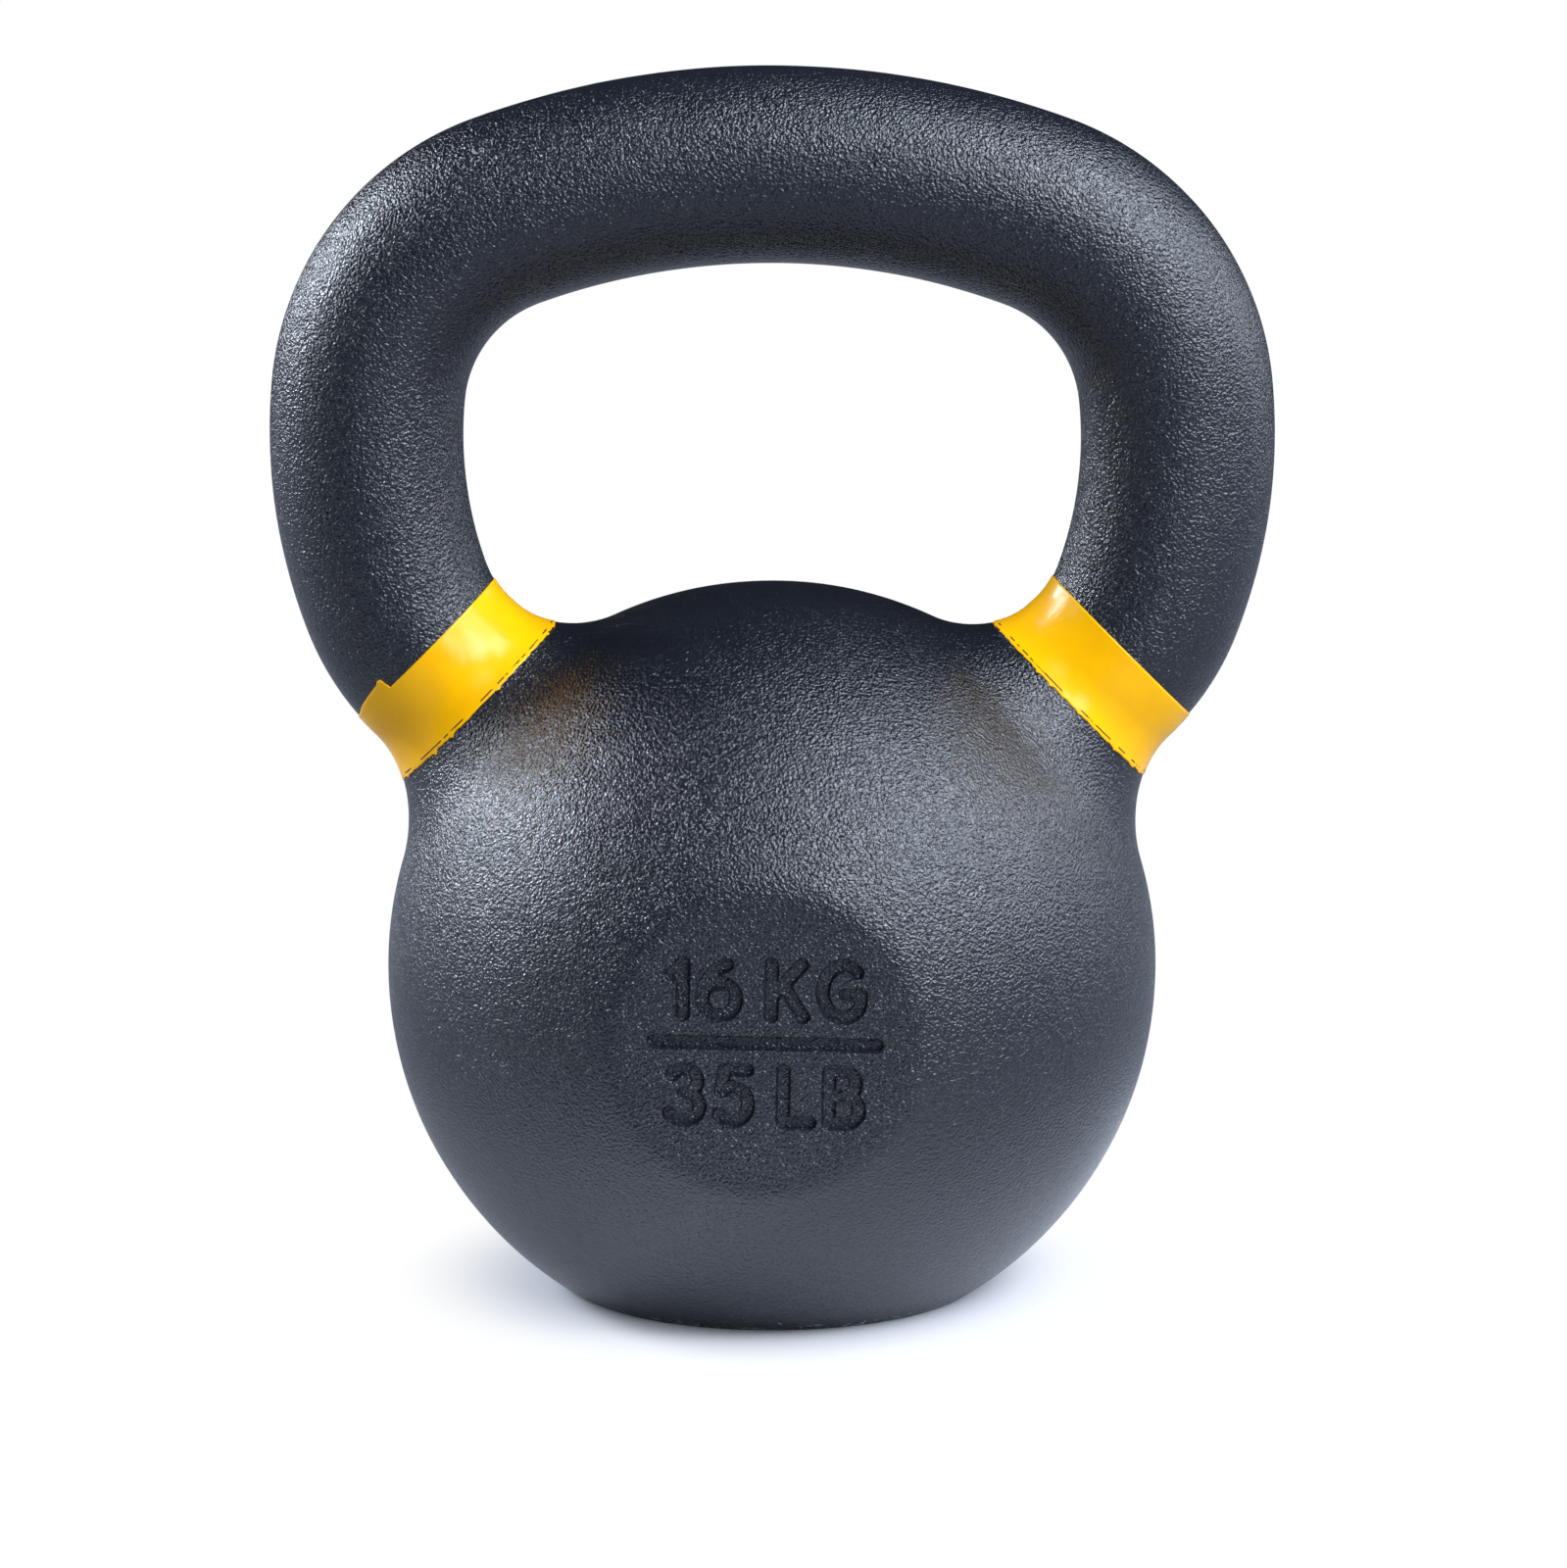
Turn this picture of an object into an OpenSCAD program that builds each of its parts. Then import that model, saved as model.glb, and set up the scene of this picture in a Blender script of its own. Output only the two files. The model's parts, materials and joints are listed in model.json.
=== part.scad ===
// Cast-iron kettlebell, 16 kg.
// One solid casting carries the ball, the two horns and the grip.
// A textured coat covers all of it but the flat foot, and a painted colour
// band goes round each horn where it leaves the ball.
// The handle lies in the XZ plane, and the weight face looks along -Y.
// The origin is on the floor, at the centre of the foot.

/* [Ball] */
// Diameter of the ball, over the coat
ball_d = 153.5; // [140:0.5:165]
// Diameter of the flat foot
foot_d = 84; // [60:1:95]
// Diameter of the round flat on the front and on the back
weight_face_d = 59.5; // [40:0.5:75]

/* [Handle] */
// Diameter of the grip, over the coat
grip_d = 38.6; // [32:0.1:40]
// How much thinner each bend is in radius, going down from the grip to the side
side_thinning = 0.1; // [0.05:0.05:0.3]
// Angle of each horn above the horizontal where it leaves the ball
horn_angle = 42.7; // [40:0.1:46]
// Radius of the hollow blend between horn and ball
horn_blend_r = 20; // [14:1:24]
// Bend radius just above the horn
root_bend_r = 36.5; // [30:0.5:60]
// Direction of the handle after the root bend
root_heading = 70; // [65:1:80]
// Bend radius of the long bowed side
side_bend_r = 93; // [80:1:120]
// Direction of the handle at the top of the bowed side
side_heading = 96; // [92:1:100]
// Bend radius of the shoulder
shoulder_bend_r = 42; // [38:0.5:50]
// Direction of the handle where the shoulder runs into the grip
shoulder_heading = 160; // [155:1:165]

/* [Coat and bands] */
// Thickness of the textured coat
coat_t = 0.3; // [0.2:0.05:0.6]
// Thickness of the painted band over the coat
band_t = 0.3; // [0.2:0.05:0.6]
// Width of each band along its horn
band_w = 15; // [8:1:18]
// Distance from the centre of the ball to the lower edge of the left band
left_band_start = 79; // [77.5:0.5:81]
// Distance from the centre of the ball to the lower edge of the right band
right_band_start = 80; // [77.5:0.5:81]

/* [Hidden] */

ball_facets = 60;
bend_facets = 60;
rod_facets = 32;
blend_facets = 48;

ball_r = ball_d/2;
grip_r = grip_d/2;
// The centre of the ball stands this far above the floor.
ball_z = sqrt(ball_r^2 - (foot_d/2)^2);
// The weight faces stand this far in front of and behind the centre.
weight_face_y = sqrt(ball_r^2 - (weight_face_d/2)^2);

// The blend arc bites this far into the ball, so that the two surfaces cross.
blend_bite = 0.2;
blend_centre_r = grip_r + horn_blend_r;
blend_centre_d = ball_r + horn_blend_r - blend_bite;
// The horn is straight from the ball to here, measured from the ball's centre.
horn_length = sqrt(blend_centre_d^2 - blend_centre_r^2);
// Radius of the horn where its blend meets the ball.
horn_root_r = blend_centre_r*(ball_r - blend_bite)/blend_centre_d;
// The revolved horn starts this deep, well inside the ball.
horn_buried = 0.6*ball_r;

// Each thinner bend runs on by this angle, into the ends of its neighbours.
run_on = 1;

// Larger than anything it cuts.
cutter = 4*ball_r;

// The handle is drawn in its own plane, as [across, up] from the ball's centre.
// A heading is the direction of travel along it, anticlockwise from +X.
function along(heading) = [cos(heading), sin(heading)];
function left_of(heading) = [-sin(heading), cos(heading)];
function bend_centre(start, heading, bend_r) = start + bend_r*left_of(heading);
function bend_end(start, heading, next_heading, bend_r) =
    bend_centre(start, heading, bend_r) - bend_r*left_of(next_heading);

horn_end = horn_length*along(horn_angle);
root_end = bend_end(horn_end, horn_angle, root_heading, root_bend_r);
side_end = bend_end(root_end, root_heading, side_heading, side_bend_r);
shoulder_end = bend_end(side_end, side_heading, shoulder_heading, shoulder_bend_r);
// The grip is one arc that is level at its middle, where the two halves meet.
grip_bend_r = shoulder_end[0]/sin(shoulder_heading);
grip_centre = bend_centre(shoulder_end, shoulder_heading, grip_bend_r);

// A quarter turn puts the handle's plane upright, at the height of the ball.
module upright() {
    translate([0, 0, ball_z])
        rotate([90, 0, 0])
            children();
}

// One round bend of the handle, between two headings. A thinner bend runs on
// into its thicker neighbours, which bury its ends.
module bend(centre, heading, next_heading, bend_r, rod_r, run_on = 0) {
    translate(centre)
        rotate(heading - run_on - 90)
            rotate_extrude(angle = next_heading - heading + 2*run_on, $fn = bend_facets)
                translate([bend_r, 0])
                    circle(r = rod_r, $fn = rod_facets);
}

// The right horn, with its hollow blend into the ball.
module horn(grow) {
    rotate(horn_angle)
        rotate([0, 90, 0])
            rotate_extrude($fn = blend_facets)
                difference() {
                    translate([0, horn_buried])
                        square([horn_root_r, horn_length - horn_buried]);
                    translate([blend_centre_r, horn_length])
                        circle(r = horn_blend_r - grow, $fn = blend_facets);
                }
}

// The right horn and the bend just above it.
module horn_and_root(grow) {
    horn(grow);
    bend(bend_centre(horn_end, horn_angle, root_bend_r), horn_angle, root_heading,
        root_bend_r, grip_r - side_thinning + grow, run_on);
}

// The bowed right side of the handle and the shoulder above it.
module side_and_shoulder(grow) {
    bend(bend_centre(root_end, root_heading, side_bend_r), root_heading, side_heading,
        side_bend_r, grip_r - 2*side_thinning + grow, run_on);
    bend(bend_centre(side_end, side_heading, shoulder_bend_r), side_heading, shoulder_heading,
        shoulder_bend_r, grip_r - side_thinning + grow, run_on);
}

module both_sides() {
    children();
    mirror([1, 0, 0])
        children();
}

module handle(grow) {
    upright() {
        both_sides() {
            horn_and_root(grow);
            side_and_shoulder(grow);
        }
        bend(grip_centre, shoulder_heading, 360 - shoulder_heading, grip_bend_r, grip_r + grow);
    }
}

// The ball with its two weight faces, turned about the axis that joins them.
module ball(grow) {
    face_y = weight_face_y + grow;
    translate([0, 0, ball_z])
        rotate([90, 0, 0])
            rotate_extrude($fn = ball_facets)
                intersection() {
                    circle(r = ball_r + grow, $fn = ball_facets);
                    translate([0, -face_y])
                        square([cutter, 2*face_y]);
                }
}

// The whole outside shape, grown evenly on every side but the flat foot.
module form(grow) {
    difference() {
        union() {
            ball(grow);
            handle(grow);
        }
        translate([-cutter/2, -cutter/2, -cutter])
            cube(cutter);
    }
}

module iron_casting() {
    color("dimgray")
        form(-coat_t);
}

module powder_coat() {
    color("#2a2e38")
        difference() {
            form(0);
            form(-coat_t);
        }
}

// A painted ring round the right horn, between two planes square to the horn.
module colour_band(band_start) {
    color("#ffce0a")
        upright()
            difference() {
                intersection() {
                    horn_and_root(band_t);
                    rotate(horn_angle)
                        translate([band_start, 0, 0])
                            rotate([0, 90, 0])
                                cylinder(r = horn_root_r, h = band_w, $fn = blend_facets);
                }
                horn_and_root(0);
            }
}

module right_colour_band() {
    colour_band(right_band_start);
}

module left_colour_band() {
    mirror([1, 0, 0])
        colour_band(left_band_start);
}

iron_casting();
powder_coat();
left_colour_band();
right_colour_band();
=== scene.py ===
# %% [markdown]
# # A cast-iron kettlebell, finished piece by piece
#
# The real object is one iron casting: a ball, two horns that rise from it, and a
# bowed grip that joins them. Powder is baked on it for a dark, grainy skin, the
# foot is ground flat, and a ring of yellow enamel goes round each horn.
#
# The measured solids are loaded first. They say where everything is and how big
# it is, and every finished piece takes its sizes from them.

# %% Load the measured solids
import json
import math

import bmesh
import bpy
import numpy as np
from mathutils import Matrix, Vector
from mathutils.geometry import delaunay_2d_cdt


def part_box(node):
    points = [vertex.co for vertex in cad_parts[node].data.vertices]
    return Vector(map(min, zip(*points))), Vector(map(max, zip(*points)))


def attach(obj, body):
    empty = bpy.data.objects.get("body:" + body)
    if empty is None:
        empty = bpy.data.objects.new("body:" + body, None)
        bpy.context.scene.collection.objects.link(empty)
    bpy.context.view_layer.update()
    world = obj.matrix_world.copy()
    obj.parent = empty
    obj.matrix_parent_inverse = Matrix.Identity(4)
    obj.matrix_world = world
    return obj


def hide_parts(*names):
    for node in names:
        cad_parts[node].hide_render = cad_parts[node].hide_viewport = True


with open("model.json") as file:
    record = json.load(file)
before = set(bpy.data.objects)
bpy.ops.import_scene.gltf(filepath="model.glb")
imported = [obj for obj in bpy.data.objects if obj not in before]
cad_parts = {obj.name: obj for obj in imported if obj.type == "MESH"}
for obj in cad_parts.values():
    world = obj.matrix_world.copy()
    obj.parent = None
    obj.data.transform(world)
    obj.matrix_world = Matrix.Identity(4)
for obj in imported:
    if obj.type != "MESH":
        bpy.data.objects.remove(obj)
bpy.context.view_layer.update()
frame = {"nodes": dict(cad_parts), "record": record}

MM = 0.001   # Blender's unit is the metre

# %% [markdown]
# ## Read the sizes off the solids
#
# The round weight face is a flat cut off the ball. How far out it stands and how
# wide it is give the ball's radius, and its middle gives the ball's height above
# the floor, so no size is typed in twice. The foot is cut off the same ball, so
# its radius follows from those two, which makes a good check. The coat's
# thickness is the step between the coat's box and the bare casting's box.

# %% Measure the ball, its flats and the coat
ON_FLAT = 0.01 * MM   # a point this close to a flat counts as on it


def mesh_points(mesh):
    """A mesh's points as rows of x, y, z."""
    flat = np.empty(len(mesh.vertices) * 3)
    mesh.vertices.foreach_get("co", flat)
    return flat.reshape(-1, 3)


skin = mesh_points(frame["nodes"]["powder_coat"].data)
face_y = -skin[:, 1].min()
on_face = skin[skin[:, 1] < ON_FLAT - face_y]
face_r = (on_face[:, 0].max() - on_face[:, 0].min()) / 2
ball_z = (on_face[:, 2].max() + on_face[:, 2].min()) / 2
ball_r = math.hypot(face_y, face_r)
coat_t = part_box("powder_coat")[1][0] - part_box("iron_casting")[1][0]
grip = next(m for m in frame["record"]["mounts"] if m["name"] == "grip")
grip_r = grip["dims"]["r_mm"] * MM
ball_centre = np.array([0, 0, ball_z])
foot_r = np.hypot(*skin[skin[:, 2] < ON_FLAT][:, :2].T).max()
print(f"ball radius {ball_r / MM:.2f}, centre at {ball_z / MM:.2f}, weight face "
      f"{face_r / MM:.2f}, coat {coat_t / MM:.2f}, grip {grip_r / MM:.2f} mm")
print(f"foot {foot_r / MM:.2f} mm in radius, and the ball gives "
      f"{math.sqrt(ball_r ** 2 - ball_z ** 2) / MM:.2f} mm")

# %% [markdown]
# ## The handle's path
#
# A pattern maker draws a kettlebell handle as a few arcs, each tangent to the
# next. The horn leaves the ball square to its surface, the root bends upwards,
# the long side bows out a little, the shoulder turns in, and the grip is one
# shallow arc. Only half is needed, because the other half mirrors it.

# %% Chain the arcs of the right half
HORN_ANGLE = math.radians(42.7)
HORN_BLEND_R = 20 * MM
BLEND_BITE = 0.2 * MM   # the blend starts this deep in the ball
# Radius of each bend and the direction in which the handle leaves it
BENDS = ((36.5 * MM, math.radians(70)), (93 * MM, math.radians(96)),
         (42 * MM, math.radians(160)))


def heading_left(heading):
    """The unit vector to the left of a direction of travel, in the handle's plane."""
    return np.array([-math.sin(heading), math.cos(heading)])


horn_axis = np.array([math.cos(HORN_ANGLE), math.sin(HORN_ANGLE)])
horn_length = math.sqrt((ball_r + HORN_BLEND_R - BLEND_BITE) ** 2 - (grip_r + HORN_BLEND_R) ** 2)
arcs = []
end, heading, travelled = horn_length * horn_axis, HORN_ANGLE, horn_length
for bend_r, next_heading in BENDS + ((None, math.pi),):
    bend_r = bend_r or end[0] / math.sin(heading)
    centre = end + bend_r * heading_left(heading)
    arcs.append((centre, bend_r, heading, next_heading, travelled))
    end = centre - bend_r * heading_left(next_heading)
    travelled += bend_r * (next_heading - heading)
    heading = next_heading
half_length = travelled
side_middle = arcs[1][4] + arcs[1][1] * (arcs[1][3] - arcs[1][2]) / 2
print(f"grip bent to {arcs[-1][1] / MM:.1f} mm, its middle at {(end[1] + ball_z) / MM:.1f} mm, "
      f"handle {2 * half_length / MM:.0f} mm long from the ball's centre and back")

# %% [markdown]
# ## One rule for the whole outside
#
# The casting has no seams: the horns flow into the ball through a hollow blend.
# That could be modelled with a boolean and a bevel, but a bevel struggles where
# a rod meets a ball. A distance rule does it better. The rule says how far any
# point in space is from the finished skin, and where two shapes meet it joins
# them with a round blend. Any mesh whose points are slid to distance zero then
# lies on the skin, and the same rule at minus 0.3 mm is the bare iron.

# %% Write the rule
BLEND = 13.5 * MM        # hollow blend between horn and ball
BLEND_LEAN = 1.6 * MM    # more of it below the horn, less of it above
FACE_EDGE = 0.6 * MM     # how softly a weight face runs into the ball
# The horn, the side and the grip are this much thinner in radius.
SLIMMING = (0.4 * MM, 0.2 * MM, 0)
BURIED = 1 / 3           # the horn's axis is followed this far in, as a share of its length
RIPPLE = 0.07 * MM       # a sand mould never leaves a perfect surface


def handle_distance(points):
    """Distance from the handle's skin, by the nearest of its straight and its arcs."""
    across = np.column_stack([np.abs(points[:, 0]), points[:, 2] - ball_z])
    along = np.clip(across @ horn_axis, BURIED * horn_length, horn_length)
    nearest = np.hypot(*(across - along[:, None] * horn_axis).T)
    place = along
    for centre, bend_r, start, stop, before in arcs:
        from_centre = across - centre
        middle = (start + stop) / 2
        turn = np.arctan2(from_centre[:, 1], from_centre[:, 0]) + math.pi / 2 - middle
        turn = (turn + math.pi) % (2 * math.pi) - math.pi
        head = middle + np.clip(turn, start - middle, stop - middle)
        foot = centre + bend_r * np.column_stack([np.sin(head), -np.cos(head)])
        away = np.hypot(*(across - foot).T)
        closer = away < nearest
        nearest = np.where(closer, away, nearest)
        place = np.where(closer, before + bend_r * (head - start), place)
    stations = [horn_length, side_middle, half_length]
    rod_r = grip_r - np.interp(place, stations, SLIMMING)
    return np.hypot(nearest, points[:, 1]) - rod_r


def ripple(points):
    """Slow unevenness of the casting, from 0 to 1: three crossing waves, about 35 mm long."""
    x, y, z = (points / MM).T
    waves = np.sin(x / 5.1 + 2 * np.sin(z / 9.7)) + np.sin(z / 6.3 + 2 * np.sin(y / 8.9))
    return (waves + np.sin(y / 5.7 + 2 * np.sin(x / 11.3)) + 3) / 6


grip_top = handle_distance(np.array([[0, 0, end[1] + ball_z + grip_r]]))[0]
print(f"the top of the grip is {grip_top / MM:.3f} mm from the handle's skin")


# %% Join the ball, the handle and the flats
def skin_distance(points):
    """Signed distance from the coated outside. The flat foot is cut later."""
    ball = np.linalg.norm(points - ball_centre, axis=1) - ball_r
    handle = handle_distance(points)
    below_horn = np.abs(points[:, 0]) * horn_axis[1] - (points[:, 2] - ball_z) * horn_axis[0]
    blend = BLEND + BLEND_LEAN * np.clip(below_horn / grip_r, -1, 1)
    into_ball, into_handle = np.maximum(blend - ball, 0), np.maximum(blend - handle, 0)
    joined = np.maximum(blend, np.minimum(ball, handle)) - np.hypot(into_ball, into_handle)
    joined = joined + RIPPLE * ripple(points)
    face = np.abs(points[:, 1]) - face_y
    overlap = np.maximum(FACE_EDGE - np.abs(joined - face), 0)
    return np.maximum(joined, face) + overlap ** 2 / (4 * FACE_EDGE)


def skin_slope(points, step=0.02 * MM):
    """The rule's gradient, which points straight out of the skin."""
    steps = step * np.eye(3)
    rise = [skin_distance(points + s) - skin_distance(points - s) for s in steps]
    return np.column_stack(rise) / (2 * step)


beside = ball_centre[None] + (ball_r + 10 * MM, 0, 0)
print(f"a point 10 mm beside the ball lies {skin_distance(beside)[0] / MM:.2f} mm off the skin, "
      f"where the slope is {np.linalg.norm(skin_slope(beside)):.3f}")


# %% Slide points to the skin
def slide_to_skin(points, grow=0.0, rounds=3):
    """Moves points along the slope until they lie at a distance from the skin."""
    for _ in range(rounds):
        slope = skin_slope(points)
        miss = skin_distance(points) - grow
        points = points - (miss / (slope ** 2).sum(axis=1))[:, None] * slope
    return points


probe = slide_to_skin(np.array([[0, 0, 0.3], [0.06, 0, 0.09], [0, -0.09, ball_z]]))
print("top, horn and weight face land at", (probe / MM).round(2).tolist())

# %% [markdown]
# ## Small helpers for nodes and colours
#
# Geometry Nodes and shader trees are both built in code. One function adds any
# node, sets its properties, and fills or links its inputs. Colours are written
# as the hex values a painter would read off a chart, and one function turns
# them into the linear light values that Blender works in.

# %% Helpers for nodes, colours and materials
def add(tree, kind, inputs=None, **settings):
    """Adds one node. An input's value may be a plain value or a socket to link from."""
    made = tree.nodes.new(kind)
    for name, value in settings.items():
        setattr(made, name, value)
    for key, value in (inputs or {}).items():
        if isinstance(value, bpy.types.NodeSocket):
            tree.links.new(value, made.inputs[key])
        else:
            made.inputs[key].default_value = value
    return made


def linear(hex_colour):
    """An sRGB hex colour as linear red, green, blue and alpha."""
    parts = [int(hex_colour[i:i + 2], 16) / 255 for i in (1, 3, 5)]
    return [p / 12.92 if p <= 0.04045 else ((p + 0.055) / 1.055) ** 2.4 for p in parts] + [1]


def new_material(name):
    """An empty node material, its node tree and the piece's own coordinates."""
    material = bpy.data.materials.new(name)
    material.use_nodes = True
    tree = material.node_tree
    tree.nodes.clear()
    place = add(tree, "ShaderNodeTexCoord").outputs["Object"]
    return material, tree, place


print("mid grey #808080 is", round(linear("#808080")[0], 3), "of full light")

# %% [markdown]
# ## Powder-coated iron
#
# The coat is a polyester powder, sprayed on dry and baked until it flows. It
# sets with a leathery orange peel of about 1.2 mm from crest to crest, and a
# finer tooth on top. To the eye that is a satin charcoal with a blue cast: broad
# soft highlights that break up into grains. The grain is a bump, because it is
# far finer than any mesh here. A little of it goes into the colour too, as
# painted shade: the hollows are painted darker and the crests paler.

# %% The coat's grain and colour
GRAIN = 0.58 * MM          # half the way from crest to crest
GRAIN_HEIGHT = 0.46 * MM   # deeper than the real peel, so that it reads from a metre away
TOOTH = 0.25 * MM          # the finer roughness on the crests
TOOTH_HEIGHT = 0.03 * MM

coat_paint, tree, place = new_material("powder_coated_iron")
peel = add(tree, "ShaderNodeTexNoise", {"Vector": place, "Scale": 1 / GRAIN, "Detail": 1.5,
                                        "Roughness": 0.45, "Distortion": 0.35})
tooth = add(tree, "ShaderNodeTexNoise", {"Vector": place, "Scale": 1 / TOOTH, "Detail": 1.0})
# painted shade: the grain's hollows take the darker colour and its crests the paler one
painted_grain_shade = add(tree, "ShaderNodeMapRange", {"Value": peel.outputs["Fac"], "From Min": 0.3,
                                         "From Max": 0.7})
shade = add(tree, "ShaderNodeMix", {"Factor": painted_grain_shade.outputs["Result"], "A": linear("#10141c"),
                                    "B": linear("#171b24")}, data_type="RGBA")
print("powder coat: grain", GRAIN / MM, "mm, tooth", TOOTH / MM, "mm")

# %% [markdown]
# Iron that is swung and set down picks up knocks. They show pale where the coat
# is bruised: a speck here and there, more of them along the foot's rim, and one
# scuff on the left shoulder. One noise gives them all, and it is lifted towards
# its threshold near the rim and near the scuff.

# %% Knocks in the coat
CHIP = 1.5 * MM                        # the size of a knock
PEAKS = (0.785, 0.80)                  # a knock starts and is fully pale at these noise values
RIM_WEAR = (0.4 * MM, 3.5 * MM)        # heights at which wear of the foot's rim fades
RIM_LIFT = 0.25                        # what full wear adds to the noise
SCUFF = (-56.8 * MM, -13.0 * MM, 228.3 * MM)
SCUFF_WEAR = (0.5 * MM, 4.0 * MM)      # distances at which the scuff fades
SCUFF_LIFT = 0.24

height = add(tree, "ShaderNodeSeparateXYZ", {"Vector": place}).outputs["Z"]
near_foot = add(tree, "ShaderNodeMapRange", {
    "Value": height, "From Min": RIM_WEAR[0], "From Max": RIM_WEAR[1],
    "To Min": RIM_LIFT, "To Max": 0.0})
knocks = add(tree, "ShaderNodeTexNoise", {"Vector": place, "Scale": 1 / CHIP, "Detail": 2.0})
knocks = add(tree, "ShaderNodeMath", {0: knocks.outputs["Fac"], 1: near_foot.outputs["Result"]},
             operation="ADD")
from_scuff = add(tree, "ShaderNodeVectorMath", {0: place, 1: SCUFF}, operation="DISTANCE")
near_scuff = add(tree, "ShaderNodeMapRange", {
    "Value": from_scuff.outputs["Value"], "From Min": SCUFF_WEAR[0], "From Max": SCUFF_WEAR[1],
    "To Min": SCUFF_LIFT, "To Max": 0.0})
knocks = add(tree, "ShaderNodeMath", {0: knocks.outputs["Value"], 1: near_scuff.outputs["Result"]},
             operation="ADD")
chipped = add(tree, "ShaderNodeMapRange", {
    "Value": knocks.outputs["Value"], "From Min": PEAKS[0], "From Max": PEAKS[1]})
shade = add(tree, "ShaderNodeMix", {
    "Factor": chipped.outputs["Result"], "A": shade.outputs["Result"], "B": linear("#7e828a")},
    data_type="RGBA")
print("knocks", CHIP / MM, "mm, rim wear up to", RIM_WEAR[1] / MM, "mm")

# %% Gloss, bump and the finished coat
CLOUD = 28 * MM    # the gloss drifts slowly over the surface
COAT_IOR = 1.62    # baked polyester with its mineral filler

clouds = add(tree, "ShaderNodeTexNoise", {"Vector": place, "Scale": 1 / CLOUD, "Detail": 3.0})
rough = add(tree, "ShaderNodeMapRange", {"Value": clouds.outputs["Fac"], "From Min": 0.35,
                                         "From Max": 0.65, "To Min": 0.21, "To Max": 0.27})
fine_bump = add(tree, "ShaderNodeBump", {"Height": tooth.outputs["Fac"], "Distance": TOOTH_HEIGHT,
                                         "Strength": 0.6})
grain_bump = add(tree, "ShaderNodeBump", {"Height": peel.outputs["Fac"], "Distance": GRAIN_HEIGHT,
                                          "Strength": 1.0, "Normal": fine_bump.outputs["Normal"]})
satin = add(tree, "ShaderNodeBsdfPrincipled", {
    "Base Color": shade.outputs["Result"], "Roughness": rough.outputs["Result"],
    "IOR": COAT_IOR, "Normal": grain_bump.outputs["Normal"]})
add(tree, "ShaderNodeOutputMaterial", {"Surface": satin.outputs["BSDF"]})
print("powder coat:", len(tree.nodes), "nodes")

# %% [markdown]
# ## Ground grey iron
#
# The foot is linished flat after coating, so it shows bare iron: a mid grey,
# with fine straight lines from the belt and a few freckles of rust that start
# within days. Noise turns into lines when it is stretched fifty times one way.
# Metals keep Blender's own IOR, and only colour, roughness and bump change.

# %% The bare iron's material
BELT_LINE = 0.4 * MM    # between scratches; a real belt's 0.1 mm is too fine to show
LINE_DEPTH = 0.03 * MM
STRETCH = 1 / 50        # the scratches run along X
FRECKLE = 3 * MM        # the size of a freckle of rust

bare_iron, tree, place = new_material("ground_grey_iron")
stretched = add(tree, "ShaderNodeMapping", {
    "Vector": place, "Scale": (STRETCH, 1, STRETCH)})
lines = add(tree, "ShaderNodeTexNoise", {"Vector": stretched.outputs["Vector"],
                                         "Scale": 1 / BELT_LINE, "Detail": 2.0})
freckles = add(tree, "ShaderNodeTexNoise", {"Vector": place, "Scale": 1 / FRECKLE, "Detail": 4.0})
rust = add(tree, "ShaderNodeMapRange", {"Value": freckles.outputs["Fac"], "From Min": 0.62,
                                        "From Max": 0.7})
colour = add(tree, "ShaderNodeMix", {"Factor": rust.outputs["Result"], "A": linear("#8b8a88"),
                                     "B": linear("#5a3a26")}, data_type="RGBA")
metallic = add(tree, "ShaderNodeMapRange", {"Value": rust.outputs["Result"], "To Min": 1.0,
                                            "To Max": 0.1})
rough = add(tree, "ShaderNodeMapRange", {"Value": lines.outputs["Fac"], "To Min": 0.28,
                                         "To Max": 0.52})
bump = add(tree, "ShaderNodeBump", {"Height": lines.outputs["Fac"], "Distance": LINE_DEPTH})
metal = add(tree, "ShaderNodeBsdfPrincipled", {
    "Base Color": colour.outputs["Result"], "Metallic": metallic.outputs["Result"],
    "Roughness": rough.outputs["Result"], "Normal": bump.outputs["Normal"]})
add(tree, "ShaderNodeOutputMaterial", {"Surface": metal.outputs["BSDF"]})
print("ground iron: belt lines", BELT_LINE / MM, "mm apart,", len(tree.nodes), "nodes")

# %% [markdown]
# ## The rough casting, by Geometry Nodes
#
# The blank follows a rule, so nodes can make it: sweep a circle along the
# handle's path, add a ball, and fuse the two. Turning the result into a volume
# and back gives even little squares all over, with no thin triangles where the
# horns enter the ball. That evenness matters, because the next step slides
# every point to the finished skin.

# %% Start the node tree for the blank
def node_group(name, sockets):
    """A geometry node tree with a geometry input and output and the named inputs."""
    group = bpy.data.node_groups.new(name, "GeometryNodeTree")
    group.interface.new_socket("Geometry", in_out="INPUT", socket_type="NodeSocketGeometry")
    for label, kind in sockets:
        group.interface.new_socket(label, in_out="INPUT", socket_type="NodeSocket" + kind)
    group.interface.new_socket("Geometry", in_out="OUTPUT", socket_type="NodeSocketGeometry")
    return group, add(group, "NodeGroupInput").outputs


blank_nodes, given = node_group("rough_casting", [
    ("Rod Radius", "Float"), ("Ball Radius", "Float"), ("Ball Centre", "Vector"),
    ("Cell", "Float"), ("Iron", "Material")])
print("its inputs:", [socket.name for socket in given if socket.name])

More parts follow.
